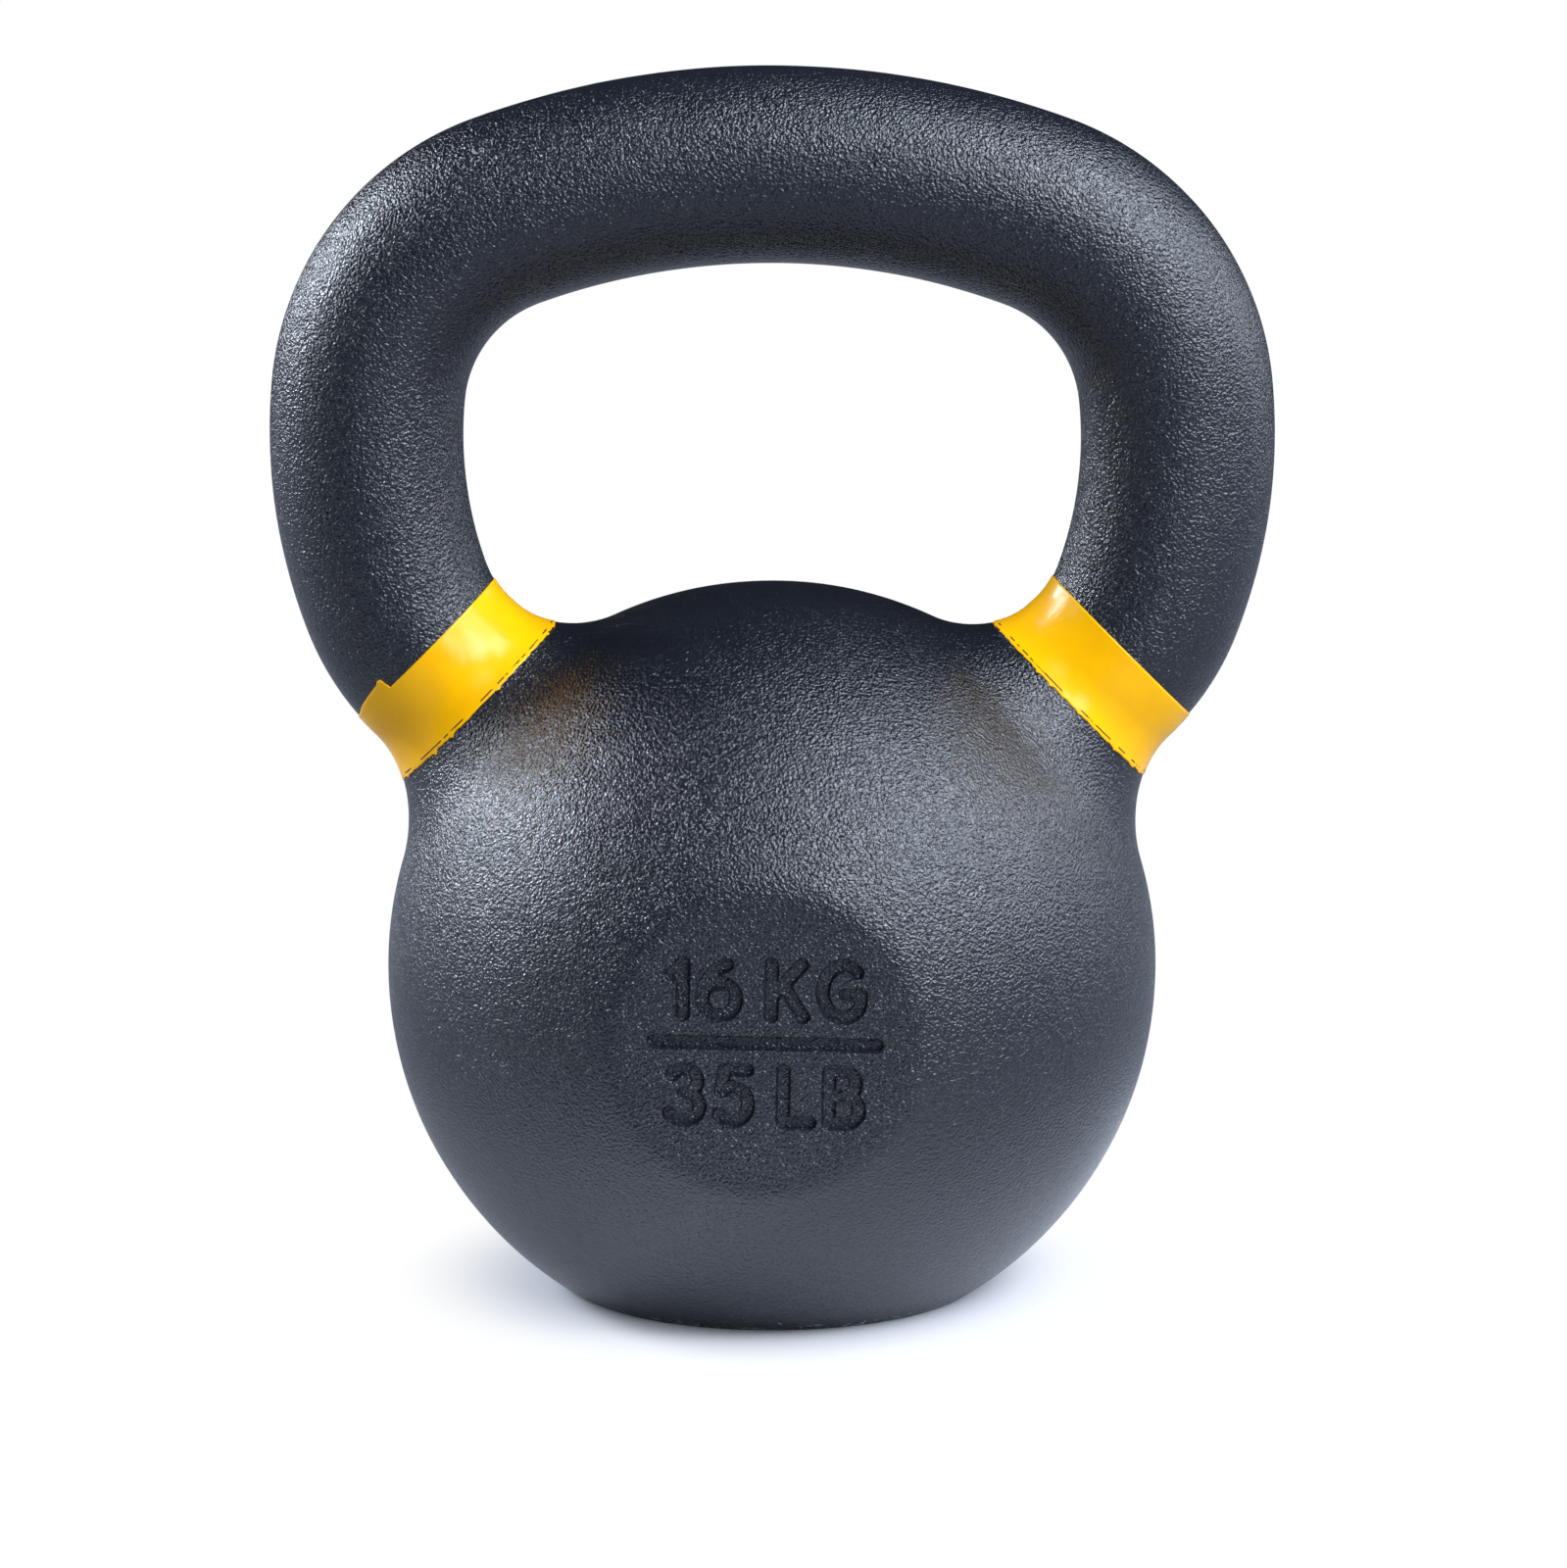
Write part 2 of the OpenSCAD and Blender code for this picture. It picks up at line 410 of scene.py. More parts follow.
# %% Sweep, fuse and remesh
rod = add(blank_nodes, "GeometryNodeCurvePrimitiveCircle", {
    "Radius": given["Rod Radius"], "Resolution": 40})
sweep = add(blank_nodes, "GeometryNodeCurveToMesh", {
    "Curve": given["Geometry"], "Profile Curve": rod.outputs["Curve"], "Fill Caps": True})
ball = add(blank_nodes, "GeometryNodeMeshUVSphere", {
    "Segments": 96, "Rings": 48, "Radius": given["Ball Radius"]})
ball = add(blank_nodes, "GeometryNodeTransform", {
    "Geometry": ball.outputs["Mesh"], "Translation": given["Ball Centre"]})
fused = add(blank_nodes, "GeometryNodeMeshBoolean", {"Mesh 2": sweep.outputs["Mesh"]},
            operation="UNION")
blank_nodes.links.new(ball.outputs["Geometry"], fused.inputs["Mesh 2"])
volume = add(blank_nodes, "GeometryNodeMeshToVolume", {
    "Mesh": fused.outputs["Mesh"], "Voxel Size": given["Cell"], "Interior Band Width": 0.01},
    resolution_mode="VOXEL_SIZE")
meshed = add(blank_nodes, "GeometryNodeVolumeToMesh", {
    "Volume": volume.outputs["Volume"], "Voxel Size": given["Cell"], "Threshold": 0.1},
    resolution_mode="VOXEL_SIZE")
real = add(blank_nodes, "GeometryNodeRealizeInstances", {"Geometry": meshed.outputs["Mesh"]})
painted = add(blank_nodes, "GeometryNodeSetMaterial", {
    "Geometry": real.outputs["Geometry"], "Material": given["Iron"]})
add(blank_nodes, "NodeGroupOutput", {"Geometry": painted.outputs["Geometry"]})
print("rough_casting:", len(blank_nodes.nodes), "nodes")

# %% Draw the handle's path
PATH_START = 0.6   # the swept horn starts this far out, as a share of its length


def handle_path(steps=24):
    """Points along the whole handle, from inside the ball and back into it."""
    half = [PATH_START * horn_length * horn_axis, horn_length * horn_axis]
    for centre, bend_r, start, stop, _ in arcs:
        for head in np.linspace(start, stop, steps + 1)[1:]:
            half.append(centre - bend_r * heading_left(head))
    right = [(p[0], 0, p[1] + ball_z) for p in half]
    left = [(-x, y, z) for x, y, z in reversed(right[:-1])]
    return right + left


def object_from(name, data):
    """Puts data in the scene as an object at the origin."""
    obj = bpy.data.objects.new(name, data)
    bpy.context.scene.collection.objects.link(obj)
    return obj


path = handle_path()
path_curve = bpy.data.curves.new("handle_path", "CURVE")
path_curve.dimensions = "3D"
path_curve.splines.new("POLY").points.add(len(path) - 1)
for point, co in zip(path_curve.splines[0].points, path):
    point.co = (*co, 1)
path_object = object_from("handle_path", path_curve)
print("path of", len(path), "points")

# %% Run the tree on the path
CELL = 1.95 * MM   # the size of one square of the skin


def run_nodes(obj, group, values):
    """Runs a node tree on an object and returns the plain mesh that it makes."""
    modifier = obj.modifiers.new(group.name, "NODES")
    modifier.node_group = group
    for item in group.interface.items_tree:
        if item.in_out == "INPUT" and item.name in values:
            modifier[item.identifier] = values[item.name]
    obj.update_tag()
    graph = bpy.context.evaluated_depsgraph_get()
    made = bpy.data.meshes.new_from_object(obj.evaluated_get(graph), depsgraph=graph)
    obj.modifiers.remove(modifier)
    return made


blank = run_nodes(path_object, blank_nodes, {
    "Rod Radius": grip_r, "Ball Radius": ball_r, "Ball Centre": tuple(ball_centre),
    "Cell": CELL, "Iron": bare_iron})
bpy.data.objects.remove(path_object)
print("blank:", len(blank.vertices), "points,", len(blank.polygons), "faces")

# %% [markdown]
# ## Slide the blank to the finished skin
#
# Each point is first eased towards the middle of its neighbours, which evens
# out the squares, and then slid along the rule's slope to the skin. A few
# rounds of that give a smooth and regular mesh.

# %% Relax and slide
def neighbour_middle(points, edges):
    """For each point, the middle of the points it shares an edge with."""
    ends = np.concatenate([edges, edges[:, ::-1]])
    count = np.bincount(ends[:, 0], minlength=len(points))
    total = [np.bincount(ends[:, 0], weights=points[ends[:, 1], axis], minlength=len(points))
             for axis in range(3)]
    return np.column_stack(total) / count[:, None]


def mesh_edges(mesh):
    """A mesh's edges as pairs of point numbers."""
    flat = np.empty(len(mesh.edges) * 2, dtype=np.int64)
    mesh.edges.foreach_get("vertices", flat)
    return flat.reshape(-1, 2)


RELAX_ROUNDS = 8
RELAX_SHARE = 0.6   # how far a point goes towards its neighbours' middle each time
points, edges = slide_to_skin(mesh_points(blank)), mesh_edges(blank)
for _ in range(RELAX_ROUNDS):
    points += RELAX_SHARE * (neighbour_middle(points, edges) - points)
    points = slide_to_skin(points, rounds=1)
points = slide_to_skin(points)
blank.vertices.foreach_set("co", points.ravel())
print(f"largest miss from the skin {np.abs(skin_distance(points)).max() / MM:.4f} mm")

# %% [markdown]
# ## The weight figures
#
# The front face carries its weight in sunken figures, as a dial carries
# numbers: kilograms over pounds, with a bar between. They are drawn here as
# plain round-ended strokes, like a router's path, so each one is a short list
# of straight runs and arcs in a box one cap high.

# %% The shape of each figure
def bow(cx, cy, rx, ry, start, stop, steps=14):
    """Points along part of an ellipse, between two angles in degrees."""
    turn = np.radians(np.linspace(start, stop, steps + 1))
    return [(cx + rx * math.cos(t), cy + ry * math.sin(t)) for t in turn]


FIGURES = {
    "1": [[(0.02, 0.76), (0.24, 1), (0.24, 0)]],
    "6": [bow(0.32, 0.32, 0.32, 0.32, 0, 360, 28), bow(0.62, 0.32, 0.62, 0.68, 105, 180)],
    "3": [bow(0.27, 0.76, 0.26, 0.24, 150, -90) + bow(0.27, 0.27, 0.31, 0.25, 88, -150)],
    "5": [[(0.54, 1), (0.12, 1), (0.06, 0.56)] + bow(0.27, 0.33, 0.30, 0.33, 128, -145)],
    "K": [[(0, 0), (0, 1)], [(0.56, 1), (0, 0.36)], [(0.22, 0.6), (0.6, 0)]],
    "G": [bow(0.38, 0.5, 0.38, 0.5, 48, 328, 26) + [(0.71, 0.44), (0.42, 0.44)]],
    "L": [[(0, 1), (0, 0), (0.5, 0)]],
    "B": [[(0, 0), (0, 1)] + bow(0.28, 0.76, 0.22, 0.24, 90, -90) + [(0, 0.52)],
          [(0.28, 0.52)] + bow(0.30, 0.26, 0.27, 0.26, 90, -90) + [(0, 0)]],
}
print(len(FIGURES), "figures drawn")

# %% [markdown]
# The figures are set side by side by their own widths, like type. A stroke that
# turns sharply is cut at the turn, so that every part of it ends in a half
# circle, as a round cutter leaves it.

# %% Set the two lines and the bar
CAP = 10.1 * MM        # height of a figure, along the middle of its strokes
STROKE = 2.3 * MM      # width of a stroke
LINE_RISE = 5.2 * MM   # from the middle of the face to the foot of the upper line
LETTER_GAP = 0.36      # between figures, in caps
WORD_GAP = 0.30        # more than that between number and unit
TILT = math.radians(-1)   # the lines sit a little askew, as cast ones do
SHARP_TURN = math.radians(30)
BAR_HALF = 21.2 * MM


def lay_out(words, foot):
    """Places a line of figures in the middle of the face, with their feet at one height."""
    strokes, pen = [], 0.0
    for word in words:
        for figure in word:
            lines = FIGURES[figure]
            left = min(x for line in lines for x, _ in line)
            right = max(x for line in lines for x, _ in line)
            strokes += [[(x - left + pen, y) for x, y in line] for line in lines]
            pen += right - left + LETTER_GAP
        pen += WORD_GAP
    middle = (pen - WORD_GAP - LETTER_GAP) / 2
    return [np.array([((x - middle) * CAP, foot + y * CAP) for x, y in line]) for line in strokes]


def split_at_corners(line, sharpest):
    """Cuts a stroke where it turns sharply, so that each part gets its own round ends."""
    runs = np.diff(line, axis=0)
    turn = np.arctan2(runs[:, 1], runs[:, 0])
    bend = np.abs((np.diff(turn) + math.pi) % (2 * math.pi) - math.pi)
    cuts = [0, *(np.flatnonzero(bend > sharpest) + 1), len(line) - 1]
    return [line[a:b + 1] for a, b in zip(cuts, cuts[1:])]


strokes = lay_out(("16", "KG"), LINE_RISE)
strokes += lay_out(("35", "LB"), -LINE_RISE - CAP)
strokes += [np.array([(-BAR_HALF, 0), (BAR_HALF, 0)])]
turn = np.array([[math.cos(TILT), math.sin(TILT)], [-math.sin(TILT), math.cos(TILT)]])
strokes = [part @ turn for line in strokes for part in split_at_corners(line, SHARP_TURN)]
segments = np.concatenate([np.column_stack([line[:-1], line[1:]]) for line in strokes])
print(len(strokes), "strokes,", len(segments), "short runs")

# %% [markdown]
# ## Cut the figures into the face
#
# A sunken figure needs points that run along its walls. So the flat of the face
# is taken out of the mesh and filled again: rows of points go down each side of
# each stroke at set distances from its middle, and a triangulation joins them.
# The depth then follows the distance, which gives a round-shouldered wall like
# the cast and coated one.

# %% Distance from the strokes, and depth
FIGURE_DEPTH = 1.3 * MM
WALL = (0.42, 0.62)   # the wall's foot and top, in stroke widths from the middle


def stroke_distance(points):
    """Distance of points on the face from the nearest stroke's middle line."""
    nearest = np.full(len(points), 1.0)
    for x0, y0, x1, y1 in segments:
        run = np.array([x1 - x0, y1 - y0])
        start = points - (x0, y0)
        share = np.clip(start @ run / (run @ run), 0, 1)
        nearest = np.minimum(nearest, np.hypot(*(start - share[:, None] * run).T))
    return nearest


def figure_depth(points):
    """How deep the face is sunk at each point."""
    foot, top = (w * STROKE for w in WALL)
    climb = np.clip((stroke_distance(points) - foot) / (top - foot), 0, 1)
    return FIGURE_DEPTH * (1 - climb ** 2 * (3 - 2 * climb))


print(f"the bar is {figure_depth(np.zeros((1, 2)))[0] / MM:.2f} mm deep in the middle")

# %% Rows of points along each stroke
# Distances of the rows from a stroke's middle, in stroke widths
ROWS = (0, 0.22, 0.36, 0.42, 0.47, 0.52, 0.57, 0.62, 0.70)
ROW_STEP = 0.42 * MM    # from one point of a row to the next
ROW_MISS = 0.01 * MM    # a point that lies nearer than this to its row belongs to it


def evenly(line, step):
    """A polyline walked in even steps: its points and directions."""
    runs = np.diff(line, axis=0)
    length = np.concatenate([[0], np.cumsum(np.hypot(*runs.T))])
    walk = np.linspace(0, length[-1], max(2, round(length[-1] / step) + 1))
    places = np.column_stack([np.interp(walk, length, line[:, i]) for i in (0, 1)])
    ahead = np.clip(np.searchsorted(length, walk, side="right") - 1, 0, len(runs) - 1)
    return places, runs[ahead] / np.hypot(*runs[ahead].T)[:, None]


def stroke_rows(line):
    """Rows of points along both sides of a stroke and round its ends."""
    places, ahead = evenly(line, ROW_STEP)
    aside = np.column_stack([-ahead[:, 1], ahead[:, 0]])
    rows = []
    for row in ROWS:
        reach = row * STROKE
        sides = [places + reach * aside, places - reach * aside] if row else [places]
        for tip, way in ((places[0], -ahead[0]), (places[-1], ahead[-1])):
            fan = np.linspace(-math.pi / 2, math.pi / 2, max(3, round(math.pi * reach / ROW_STEP)))
            round_end = [(way[0] * math.cos(t) - way[1] * math.sin(t),
                          way[0] * math.sin(t) + way[1] * math.cos(t)) for t in fan]
            sides.append(tip + reach * np.array(round_end))
        found = np.concatenate(sides)
        rows.append(found[np.abs(stroke_distance(found) - reach) < ROW_MISS])
    return np.concatenate(rows)


row_points = np.concatenate([stroke_rows(line) for line in strokes])
print(len(row_points), "points along the strokes")

# %% Thin the rows and fill between them
PATCH_R = 27.3 * MM       # radius of the part of the face that is filled again
NEAREST = 0.13 * MM       # no two points lie closer than this
LATTICE_STEP = 1.3 * MM   # between the points of the plain face
LATTICE_ROW = 0.87        # from one row of those points to the next, in steps


def keep_apart(points, gap):
    """Drops each point that lies closer than the gap to one kept before it."""
    kept, cells = [], {}
    for x, y in points:
        column, row = math.floor(x / gap), math.floor(y / gap)
        near = [q for i in (-1, 0, 1) for j in (-1, 0, 1)
                for q in cells.get((column + i, row + j), ())]
        if all((x - qx) ** 2 + (y - qy) ** 2 > gap ** 2 for qx, qy in near):
            cells.setdefault((column, row), []).append((x, y))
            kept.append((x, y))
    return np.array(kept)


def plain_points(step):
    """A lattice over the face, left open where the strokes have their own rows."""
    across = np.arange(-PATCH_R, PATCH_R, step)
    lattice = np.array([(x + (step / 2) * (j % 2), y)
                        for j, y in enumerate(across * LATTICE_ROW) for x in across])
    inside = np.hypot(*lattice.T) < PATCH_R - 0.6 * step
    return lattice[inside & (stroke_distance(lattice) > ROWS[-1] * STROKE + 0.35 * step)]


inner = np.concatenate([keep_apart(row_points, NEAREST), plain_points(LATTICE_STEP)])
print(len(inner), "points on the face")

# %% Take the flat out and walk round its rim
ON_FACE = 1e-6   # metres off the face's plane that still count as on it

skin_bm = bmesh.new()
skin_bm.from_mesh(blank)
face_centre = Vector((0, -face_y, ball_z))
flat_faces = [f for f in skin_bm.faces
              if all((v.co - face_centre).length < PATCH_R and abs(v.co.y + face_y) < ON_FACE
                     for v in f.verts)]
bmesh.ops.delete(skin_bm, geom=flat_faces, context="FACES")
rim = [e for e in skin_bm.edges if e.is_boundary]
ring = [rim[0].verts[0]]
edge = rim[0]
while True:
    ring_next = edge.other_vert(ring[-1])
    if ring_next is ring[0]:
        break
    ring.append(ring_next)
    edge = next(e for e in ring_next.link_edges if e.is_boundary and e is not edge)
print(len(flat_faces), "faces taken out, with", len(ring), "points round the hole")

# %% Fill the face again and sink the figures
rim_points = np.array([(v.co.x, v.co.z - ball_z) for v in ring])
everything = np.concatenate([rim_points, inner])
found, _, triangles, origin, _, _ = delaunay_2d_cdt(
    [Vector(p) for p in everything], [], [list(range(len(ring)))], 1, 1e-8)
corner = []
for co, was in zip(found, origin):
    rim_number = next((i for i in was if i < len(ring)), None)
    corner.append(ring[rim_number] if rim_number is not None
                  else skin_bm.verts.new((co.x, -face_y, co.y + ball_z)))
for triangle in triangles:
    skin_bm.faces.new([corner[i] for i in triangle])
spare = [v for v in skin_bm.verts if not v.link_faces]
bmesh.ops.delete(skin_bm, geom=spare, context="VERTS")
bmesh.ops.recalc_face_normals(skin_bm, faces=skin_bm.faces)
skin_bm.to_mesh(blank)
skin_bm.free()
base_points = mesh_points(blank)
on_patch = (np.abs(base_points[:, 1] + face_y) < ON_FACE) & (
    np.hypot(base_points[:, 0], base_points[:, 2] - ball_z) < PATCH_R)
sunk = np.zeros_like(base_points)
sunk[on_patch, 1] = figure_depth(base_points[on_patch][:, [0, 2]] - (0, ball_z))
print("face refilled with", len(triangles), "triangles, of", len(blank.polygons), "in all")

# %% [markdown]
# ## Coat and casting
#
# The coat is a closed skin 0.3 mm thick with the iron inside it. Both come from
# the same mesh, so the coat's inner wall is exactly the casting's outside. The
# grinding belt takes coat and iron away together at the foot, so both are cut
# by the floor's plane. The coat's cut edge is then filled as a thin ring, and
# the casting's as a disc.

# %% Close a skin at the floor
SHARP = math.radians(28)   # an edge that turns more than this stays crisp


def shade_by_angle(bm):
    """Smooth faces, with crisp edges where the surface turns sharply."""
    for bm_edge in bm.edges:
        bm_edge.smooth = bm_edge.calc_face_angle(0) < SHARP
    for bm_face in bm.faces:
        bm_face.smooth = True


def shell_mesh(name, layers):
    """Joins layers of the skin, cuts them at the floor and closes the cut."""
    bm = bmesh.new()
    for layer_points, outwards in layers:
        copy = blank.copy()
        copy.vertices.foreach_set("co", layer_points.ravel())
        if not outwards:
            copy.flip_normals()
        bm.from_mesh(copy)
        bpy.data.meshes.remove(copy)
    bmesh.ops.bisect_plane(bm, geom=bm.verts[:] + bm.edges[:] + bm.faces[:], dist=1e-7,
                           plane_co=(0, 0, 0), plane_no=(0, 0, -1), clear_outer=True)
    cut = [e for e in bm.edges if e.is_boundary]
    filled = bmesh.ops.triangle_fill(bm, use_beauty=True, edges=cut, normal=(0, 0, -1))
    for item in filled["geom"]:
        if isinstance(item, bmesh.types.BMFace) and item.normal.z > 0:
            item.normal_flip()
    shade_by_angle(bm)
    made = bpy.data.meshes.new(name)
    bm.to_mesh(made)
    bm.free()
    return made


iron_points = slide_to_skin(base_points, grow=-coat_t)
iron_skin, coat_skin = iron_points + sunk, base_points + sunk
casting_mesh = shell_mesh("iron_casting_piece", [(iron_skin, True)])
coat_mesh = shell_mesh("powder_coat_piece", [(coat_skin, True), (iron_skin, False)])
print(f"the iron's skin lies {np.linalg.norm(iron_skin - coat_skin, axis=1).mean() / MM:.3f} mm "
      "under the coat's")


# %% Put the casting and its coat in place
def add_piece(name, mesh, material, replaced):
    """Puts a finished piece in the scene in place of its measured solid."""
    mesh.materials.clear()
    mesh.materials.append(material)
    piece = object_from(name, mesh)
    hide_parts(replaced)
    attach(piece, "root")
    triangles = sum(len(p.vertices) - 2 for p in mesh.polygons)
    print(f"{name}: {len(mesh.vertices)} points, {triangles} triangles")


add_piece("iron_casting_piece", casting_mesh, bare_iron, "iron_casting")
add_piece("powder_coat_piece", coat_mesh, coat_paint, "powder_coat")

# %% [markdown]
# ## Enamel for the bands
#
# The bands are enamel, brushed on between strips of tape. Enamel is a glossy
# alkyd paint: strong even colour, a small bright highlight, and a soft trace of
# the coat's orange peel under it. Near the lower edge the tape has left a
# broken hairline where the coat shows through.

# %% The enamel's colour and hairline
BRUSHED = 9 * MM          # the size of the patches where the film is thinner
HAIRLINE = 0.75 * MM      # from the band's lower edge to the line
LINE_EDGE = (0.09 * MM, 0.16 * MM)   # the line fades between these distances from its middle
DASH = 2.2 * MM           # the size of the gaps that break it

enamel, tree, place = new_material("yellow_enamel")
tone = add(tree, "ShaderNodeTexNoise", {"Vector": place, "Scale": 1 / BRUSHED, "Detail": 2.0})
toned = add(tree, "ShaderNodeMapRange", {"Value": tone.outputs["Fac"], "From Min": 0.4,
                                         "From Max": 0.65})
yellow = add(tree, "ShaderNodeMix", {"Factor": toned.outputs["Result"], "A": linear("#ffba04"),
                                     "B": linear("#f9b306")}, data_type="RGBA")
from_edge = add(tree, "ShaderNodeAttribute", attribute_name="from_edge").outputs["Fac"]
off_line = add(tree, "ShaderNodeMath", {0: from_edge, 1: HAIRLINE}, operation="SUBTRACT")
off_line = add(tree, "ShaderNodeMath", {0: off_line.outputs["Value"]}, operation="ABSOLUTE")
line = add(tree, "ShaderNodeMapRange", {
    "Value": off_line.outputs["Value"], "From Min": LINE_EDGE[0], "From Max": LINE_EDGE[1],
    "To Min": 1.0, "To Max": 0.0})
gaps = add(tree, "ShaderNodeTexNoise", {"Vector": place, "Scale": 1 / DASH, "Detail": 1.0})
gaps = add(tree, "ShaderNodeMapRange", {"Value": gaps.outputs["Fac"], "From Min": 0.5,
                                        "From Max": 0.54})
broken = add(tree, "ShaderNodeMath", {0: line.outputs["Result"], 1: gaps.outputs["Result"]},
             operation="MULTIPLY")
colour = add(tree, "ShaderNodeMix", {
    "Factor": broken.outputs["Value"], "A": yellow.outputs["Result"], "B": linear("#2a2418")},
    data_type="RGBA")
print("hairline", HAIRLINE / MM, "mm from the lower edge")

# %% The enamel's gloss
ENAMEL_PEEL = 1.3 * MM       # the coat's grain, smoothed by the film
PEEL_HEIGHT = 0.035 * MM
ENAMEL_ROUGHNESS = 0.25
ENAMEL_IOR = 1.33            # alkyd is nearer 1.5; lowered to match the band's soft highlight

peel = add(tree, "ShaderNodeTexNoise", {"Vector": place, "Scale": 1 / ENAMEL_PEEL, "Detail": 1.0})
bump = add(tree, "ShaderNodeBump", {"Height": peel.outputs["Fac"], "Distance": PEEL_HEIGHT})
gloss = add(tree, "ShaderNodeBsdfPrincipled", {
    "Base Color": colour.outputs["Result"], "Roughness": ENAMEL_ROUGHNESS, "IOR": ENAMEL_IOR,
    "Normal": bump.outputs["Normal"]})
add(tree, "ShaderNodeOutputMaterial", {"Surface": gloss.outputs["BSDF"]})
print("yellow enamel:", len(tree.nodes), "nodes")

# %% [markdown]
# ## The colour bands
#
# Each band is a film that follows the horn's blend, so its shape is the coat's
# shape a fifth of a millimetre further out. A copy of the coat's skin could be
# cut out and thickened, but its squares don't follow the tape. So the band gets
# rows of its own round the horn's axis, and each point of a row moves straight
# in or out from the axis until the rule says it is on the paint's surface.

# %% Find the paint's surface round the horn
SEARCH = (15 * MM, 34 * MM)   # the skin lies between these radii from the horn's axis
HALVINGS = 22


def point_on_skin(axial, angle, grow, side):
    """Points on the skin round the horn's axis, found by halving the gap again and again."""
    axis = np.array([side * horn_axis[0], 0, horn_axis[1]])
    up = np.array([-side * horn_axis[1], 0, horn_axis[0]])
    outward = np.cos(angle)[:, None] * up + np.sin(angle)[:, None] * np.array([0, 1, 0])
    foot = ball_centre + axial[:, None] * axis
    low, high = np.full(len(axial), SEARCH[0]), np.full(len(axial), SEARCH[1])
    for _ in range(HALVINGS):
        middle = (low + high) / 2
        inside = skin_distance(foot + middle[:, None] * outward) < grow
        low, high = np.where(inside, middle, low), np.where(inside, high, middle)
    return foot + ((low + high) / 2)[:, None] * outward


def band_span(node, side):
    """Where a band starts and ends along its horn, from its measured solid."""
    axis = (side * horn_axis[0], 0, horn_axis[1])
    rise = (mesh_points(frame["nodes"][node].data) - ball_centre) @ axis
    return rise.min(), rise.max()


for node, side in (("left_colour_band", -1), ("right_colour_band", 1)):
    span = [round(r / MM, 2) for r in band_span(node, side)]
    print(node, "runs from", span, "mm along its horn")

# %% [markdown]
# Tape is never laid quite square. It leans up the outer side of each horn and up
# the front, its lower edge is ragged where paint crept under it, and on the left
# horn the two ends of the tape overlap, which leaves a step in the upper edge.

# %% The tape's edges
TAPE_LEAN = 0.7 * MM                        # how much further up the horn's outer side
FRONT_LEAN = {-1: 0.5 * MM, 1: 1.4 * MM}    # and up the front, on the left and the right
CREEP = 0.07 * MM                           # how far the paint wanders under the tape
CREEP_KNOTS = 170                           # and how many times on its way round
TAPE_SEED = 11
BLEED, BLEEDS, BLEED_TURN = 0.3 * MM, 26, 0.02   # length, number and half width of bleeds
BAND_TURNS = 480
# The lap on the left: degrees round the horn, and how many millimetres the paint runs on
LAP = ((196, 0), (206, 0.4), (216, 1.1), (241, 2.2), (243, 2.6), (246, 2.5), (247.5, 0))

angle = np.linspace(0, 2 * math.pi, BAND_TURNS, endpoint=False)


def tape_edges(side):
    """How far the band leans, how ragged its lower edge is and how far it laps, by angle."""
    lean = TAPE_LEAN * -np.cos(angle) + FRONT_LEAN[side] * -np.sin(angle)
    chance = np.random.default_rng(TAPE_SEED + side)
    knots = np.linspace(0, 2 * math.pi, CREEP_KNOTS)
    ragged = np.interp(angle, knots, chance.normal(0, CREEP, CREEP_KNOTS))
    for _ in range(BLEEDS):
        ragged += BLEED * np.exp(-((angle - chance.uniform(0, 6.28)) / BLEED_TURN) ** 2)
    lap = np.interp(np.degrees(angle), *zip(*LAP), left=0, right=0) * MM if side < 0 else 0
    return lean, ragged, lap


print(f"the left band laps by {tape_edges(-1)[2].max() / MM:.1f} mm")

# %% Build and place the bands
PAINT_T = 0.22 * MM
EDGE_T = 0.02 * MM     # the film is this thin at its very edge
BITE = 0.08 * MM       # the inner face lies this deep in the coat, so that no gap shows
ROUNDED = 0.025        # the share of the width in which an edge rounds over
BAND_ROWS = 36


def band_mesh(name, side):
    """A closed film of paint: an outer face, an inner face and rounded edges."""
    start, stop = band_span(name, side)
    lean, ragged, lap = tape_edges(side)
    width = stop - start + lap
    edge_shares = np.array([0, 0.004, 0.012, ROUNDED])
    share = np.concatenate(
        [edge_shares, np.linspace(0.045, 0.955, BAND_ROWS), 1 - edge_shares[::-1]])
    rows, edge_rows = [], []
    for s, outer in [(s, True) for s in share] + [(s, False) for s in reversed(share)]:
        rounding = math.sqrt(1 - max(0, 1 - min(s, 1 - s) / ROUNDED) ** 2)
        grow = EDGE_T + (PAINT_T - EDGE_T) * rounding if outer else -BITE
        inward = s * width - ragged * (1 - s) ** 8   # ragged at the lower edge only
        rows.append(point_on_skin(start + lean + inward, angle, grow, side))
        edge_rows.append(inward)
    turns, count = BAND_TURNS, len(rows)
    faces = [(r * turns + i, r * turns + (i + 1) % turns,
              (r + 1) % count * turns + (i + 1) % turns, (r + 1) % count * turns + i)
             for r in range(count) for i in range(turns)]
    mesh = bpy.data.meshes.new(name)
    mesh.from_pydata(np.concatenate(rows).tolist(), [], faces)
    from_edge = mesh.attributes.new("from_edge", "FLOAT", "POINT")
    from_edge.data.foreach_set("value", np.concatenate(edge_rows))
    bm = bmesh.new()
    bm.from_mesh(mesh)
    bmesh.ops.recalc_face_normals(bm, faces=bm.faces)
    shade_by_angle(bm)
    bm.to_mesh(mesh)
    bm.free()
    return mesh


for name, side in (("left_colour_band", -1), ("right_colour_band", 1)):
    add_piece(name + "_piece", band_mesh(name, side), enamel, name)

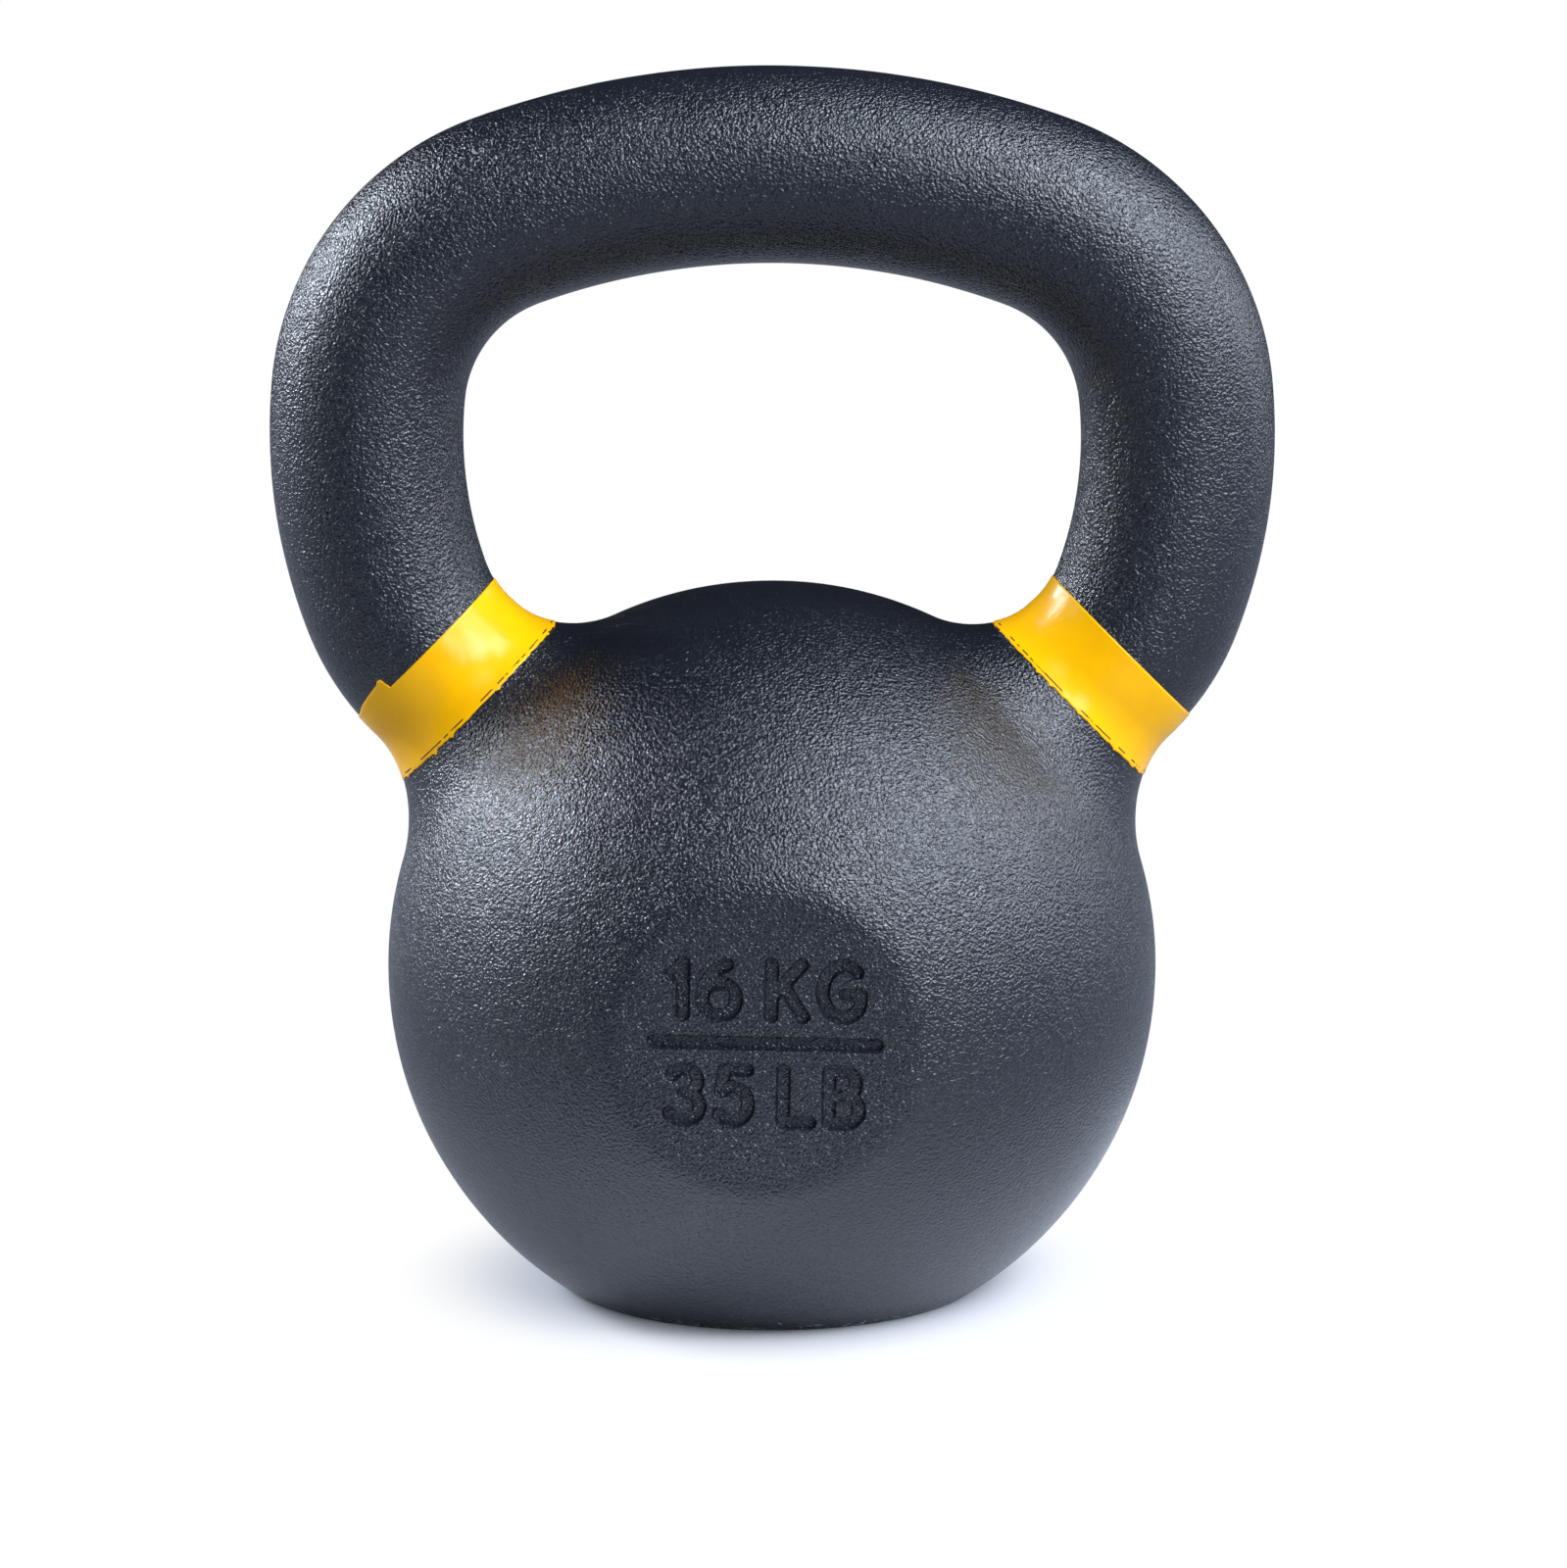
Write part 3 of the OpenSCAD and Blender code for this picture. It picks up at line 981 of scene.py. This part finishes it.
# %% [markdown]
# ## Floor, camera and light
#
# A pale seamless floor and a long lens a little above the ball, as a catalogue
# studio would use. Round the foot the floor takes the shadow, and further out
# it is burnt out to plain white. That is for the camera alone, so the dark iron
# doesn't pick up a bright room in its reflections.

# %% Floor
PAINTED_FALLOFF = (70 * MM, 200 * MM)      # between these distances the paper's colour is painted darker, as painted falloff of the light
BURNT_OUT = (38 * MM, 78 * MM)   # distances between which it turns white for the camera
FLOOR_REACH = 4.0
FLOOR_GAP = 0.03 * MM            # keeps the floor from lying in the very plane of the foot

floor_paint, tree, place = new_material("pale_floor")
away = add(tree, "ShaderNodeVectorMath", {"Vector": place}, operation="LENGTH")
# painted falloff: the paper's colour darkens from the foot outwards, standing in for the light
# that fades away
painted_falloff = add(tree, "ShaderNodeMapRange", {"Value": away.outputs["Value"], "From Min": PAINTED_FALLOFF[0],
                                            "From Max": PAINTED_FALLOFF[1]}, interpolation_type="SMOOTHSTEP")
paper_with_painted_falloff = add(tree, "ShaderNodeMix", {"Factor": painted_falloff.outputs["Result"], "A": linear("#dadce2"),
                                    "B": linear("#84868c")}, data_type="RGBA")
matt = add(tree, "ShaderNodeBsdfDiffuse", {"Color": paper_with_painted_falloff.outputs["Result"]})
white = add(tree, "ShaderNodeEmission", {"Color": linear("#ffffff"), "Strength": 1.0})
fade = add(tree, "ShaderNodeMapRange", {"Value": away.outputs["Value"], "From Min": BURNT_OUT[0],
                                        "From Max": BURNT_OUT[1]}, interpolation_type="SMOOTHSTEP")
seen = add(tree, "ShaderNodeLightPath").outputs["Is Camera Ray"]
burnt_out = add(tree, "ShaderNodeMath", {0: fade.outputs["Result"], 1: seen}, operation="MULTIPLY")
mixed = add(tree, "ShaderNodeMixShader", {"Fac": burnt_out.outputs["Value"],
                                          1: matt.outputs["BSDF"], 2: white.outputs["Emission"]})
add(tree, "ShaderNodeOutputMaterial", {"Surface": mixed.outputs["Shader"]})
floor_mesh = bpy.data.meshes.new("floor")
corners = [(x * FLOOR_REACH, y * FLOOR_REACH, -FLOOR_GAP)
           for x, y in ((-1, -1), (1, -1), (1, 1), (-1, 1))]
floor_mesh.from_pydata(corners, [], [(0, 1, 2, 3)])
floor_mesh.materials.append(floor_paint)
floor = object_from("floor", floor_mesh)
print("floor", 2 * FLOOR_REACH, "m wide")

# %% Camera
CAMERA_DISTANCE = 1.228
CAMERA_RISE = math.radians(10.75)
CAMERA_TURN = math.radians(0.97)
LENS = 141.5   # millimetres, on a 36 mm wide sensor
aim = Vector((2.3 * MM, 0, ball_z + 36.6 * MM))
back = Vector((math.sin(CAMERA_TURN) * math.cos(CAMERA_RISE),
               -math.cos(CAMERA_TURN) * math.cos(CAMERA_RISE), math.sin(CAMERA_RISE)))
camera_data = bpy.data.cameras.new("camera")
camera_data.lens = LENS
camera_data.sensor_width = 36
camera_data.clip_end = 50
camera = object_from("camera", camera_data)
camera.location = aim + back * CAMERA_DISTANCE
camera.rotation_euler = back.to_track_quat("Z", "Y").to_euler()
bpy.context.scene.camera = camera
print("camera at", [round(c, 3) for c in camera.location])

# %% [markdown]
# A dark satin object shows little colour of its own. It shows the lamps, each
# where the surface mirrors it towards the lens. So each soft box stands where
# its highlight is wanted: small ones for the bright streaks on the shoulders,
# and wide dim ones for the even sheen on the ball's sides.

# %% Lights
LIGHT_DISTANCE = 1.3
LIGHT_CENTRE = Vector((0, 0, 0.12))
COOL = (0.92, 1.0, 1.13)   # daylight tubes, a little bluer than plain white
# Name, turn to the right of the camera and rise in degrees, width and height in metres, watts
SOFT_BOXES = (
    ("left_key", -106, 31, 0.38, 0.38, 11.5),
    ("left_wall", -92, 16, 0.80, 0.60, 5),
    ("left_rim", -126, 17, 0.18, 0.30, 6),
    ("right_key", 40, 39, 0.55, 0.45, 11.5),
    ("right_wall", 78, 34, 1.10, 0.85, 15),
    ("right_back", 124, 12, 0.50, 0.45, 3),
    ("low_front", 30, 18, 0.30, 0.30, 3),
    ("high_right", 62, 60, 0.50, 0.45, 8.5),
    ("high_front", -8, 46, 0.40, 0.40, 1.2))
for name, turn_deg, rise_deg, width, height, watts in SOFT_BOXES:
    turn, rise = math.radians(turn_deg), math.radians(rise_deg)
    towards = Vector((math.sin(turn) * math.cos(rise), -math.cos(turn) * math.cos(rise),
                      math.sin(rise)))
    box = bpy.data.lights.new(name, "AREA")
    box.shape, box.size, box.size_y = "RECTANGLE", width, height
    box.energy, box.color = watts, COOL
    lamp = object_from(name, box)
    lamp.location = LIGHT_CENTRE + LIGHT_DISTANCE * towards
    lamp.rotation_euler = towards.to_track_quat("Z", "Y").to_euler()

print(len(SOFT_BOXES), "soft boxes,", sum(b[5] for b in SOFT_BOXES), "watts in all")

# %% The room
ROOM_GLOW = 0.02   # white to the camera, and nearly dark to everything else

world = bpy.data.worlds.new("studio")
world.use_nodes = True
tree = world.node_tree
tree.nodes.clear()
seen = add(tree, "ShaderNodeLightPath").outputs["Is Camera Ray"]
glow = add(tree, "ShaderNodeMapRange", {"Value": seen, "To Min": ROOM_GLOW, "To Max": 1.0})
backdrop = add(tree, "ShaderNodeBackground", {"Color": linear("#ffffff"),
                                              "Strength": glow.outputs["Result"]})
add(tree, "ShaderNodeOutputWorld", {"Surface": backdrop.outputs["Background"]})
bpy.context.scene.world = world
bpy.context.scene.view_settings.view_transform = "Standard"
print("room glow", ROOM_GLOW)
